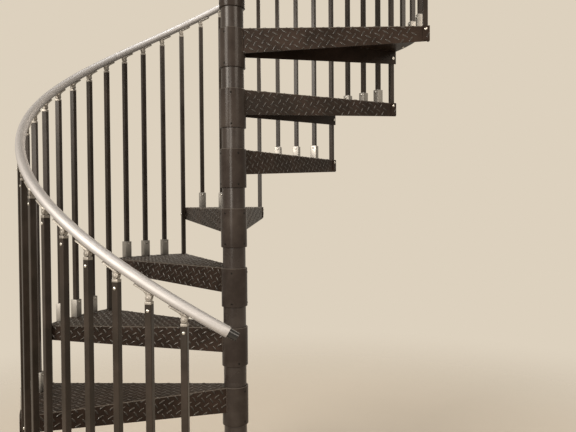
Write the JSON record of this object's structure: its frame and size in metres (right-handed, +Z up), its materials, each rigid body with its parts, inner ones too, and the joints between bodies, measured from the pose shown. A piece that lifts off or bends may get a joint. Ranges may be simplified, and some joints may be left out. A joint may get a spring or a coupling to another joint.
{
  "type": "spiral staircase",
  "caption": "Clockwise spiral stair: folded chequer-plate treads on a central pole, square balusters, helical round handrail and a square top landing.",
  "frame": {"origin": "centre of the base plate's underside, on the pole's axis at floor level", "axes": "+Z up along the pole; the first tread's front edge lies along -Y and the stair turns clockwise seen from above"},
  "size_m": [1.575, 1.568, 3.9924],
  "materials": {
    "column_steel": "satin black powder coat on steel tube",
    "chequer_plate": "satin black powder coat on steel chequer plate",
    "baluster_tube": "satin black powder coat on square steel tube",
    "baluster_shoe": "bead-blasted cast aluminium",
    "rail_bracket": "tumbled cast aluminium",
    "handrail_tube": "satin aluminium",
    "end_plug": "moulded black plastic",
    "zinc_screw": "bright zinc plate"
  },
  "bodies": {
    "root": {"base_plate": "column_steel", "centre_pole": "column_steel", "pole_cap": "column_steel", "tread_01": "chequer_plate", "tread_02": "chequer_plate", "tread_03": "chequer_plate", "tread_04": "chequer_plate", "tread_05": "chequer_plate", "tread_06": "chequer_plate", "tread_07": "chequer_plate", "tread_08": "chequer_plate", "tread_09": "chequer_plate", "tread_10": "chequer_plate", "tread_11": "chequer_plate", "tread_12": "chequer_plate", "landing": "chequer_plate", "balusters_01": "baluster_tube", "balusters_02": "baluster_tube", "balusters_03": "baluster_tube", "balusters_04": "baluster_tube", "balusters_05": "baluster_tube", "balusters_06": "baluster_tube", "balusters_07": "baluster_tube", "balusters_08": "baluster_tube", "balusters_09": "baluster_tube", "balusters_10": "baluster_tube", "balusters_11": "baluster_tube", "balusters_12": "baluster_tube", "landing_balusters": "baluster_tube", "shoes_lower": "baluster_shoe", "shoes_middle": "baluster_shoe", "shoes_upper": "baluster_shoe", "landing_shoes": "baluster_shoe", "rail_brackets_lower": "rail_bracket", "rail_brackets_middle": "rail_bracket", "rail_brackets_upper": "rail_bracket", "landing_rail_brackets": "rail_bracket", "handrail_lower": "handrail_tube", "handrail_middle": "handrail_tube", "handrail_upper": "handrail_tube", "handrail_foot_plug": "end_plug", "handrail_top_plug": "end_plug", "landing_rail": "handrail_tube", "landing_rail_plugs": "end_plug"}
  },
  "joints": []
}
